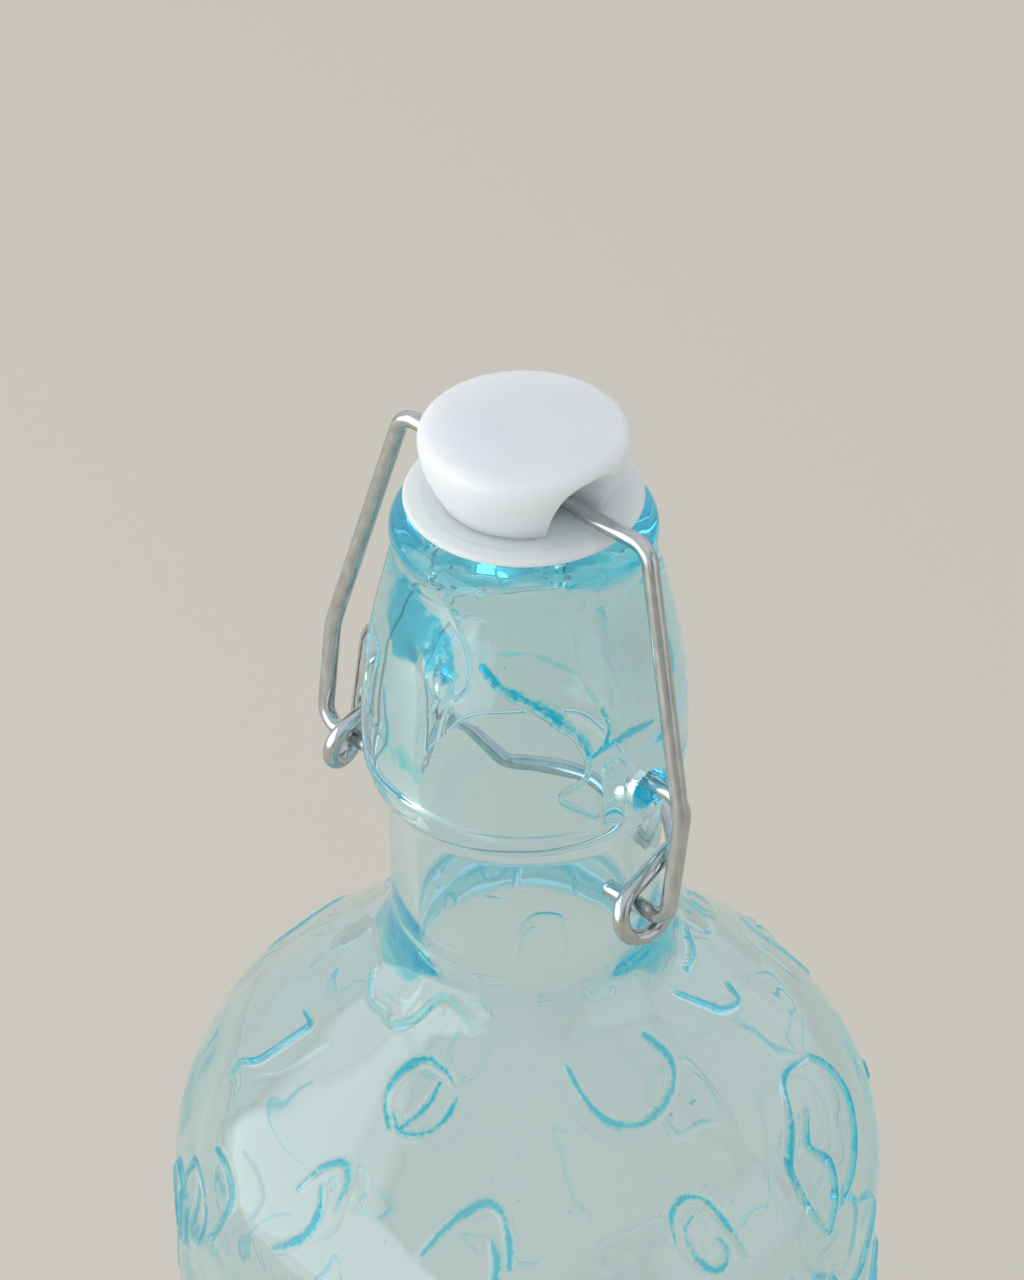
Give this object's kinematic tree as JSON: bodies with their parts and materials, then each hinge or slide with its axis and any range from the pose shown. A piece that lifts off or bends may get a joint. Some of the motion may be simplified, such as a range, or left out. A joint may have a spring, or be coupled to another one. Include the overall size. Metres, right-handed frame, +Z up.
{
  "type": "glass bottle",
  "caption": "Round light-blue glass bottle with a narrow neck and a swing-top closure: white stopper cap, gasket ring, wire bail and over-centre lever.",
  "frame": {"origin": "centre of the base, on the bottle's axis, at the height of the flat ring it stands on", "axes": "+Z up the bottle's axis, X along the wire closure's pivots, +Y towards the lever's handle"},
  "size_m": [0.0958, 0.0958, 0.2765],
  "materials": {
    "glass_bottle": "gloss",
    "stopper_cap": "satin",
    "stopper_gasket": "satin",
    "bail_wire": "bright",
    "lever_wire": "bright"
  },
  "bodies": {
    "bottle": {"glass_bottle": "glass_bottle"},
    "lever": {"lever_wire": "lever_wire"},
    "bail": {"bail_wire": "bail_wire"},
    "stopper": {"stopper_cap": "stopper_cap", "stopper_gasket": "stopper_gasket"}
  },
  "joints": [
    {"name": "lever_swing", "type": "hinge", "parent": "bottle", "child": "lever", "pos_m": [0, 0, 0.2323], "axis": [1, 0, 0], "range_deg": [0, 94], "deforming": ["stopper_gasket"]},
    {"name": "bail_swing", "type": "hinge", "parent": "lever", "child": "bail", "pos_m": [0, -0.0061, 0.21829], "axis": [1, 0, 0], "range_deg": [-69, 0]},
    {"name": "stopper_level", "type": "hinge", "parent": "bail", "child": "stopper", "pos_m": [0, 0, 0.26775], "axis": [1, 0, 0], "range_deg": [-26, 0]}
  ],
  "couplings": [
    {"joint": "bail_swing", "follows": "lever_swing", "ratio": -0.73},
    {"joint": "stopper_level", "follows": "lever_swing", "ratio": -0.27}
  ]
}
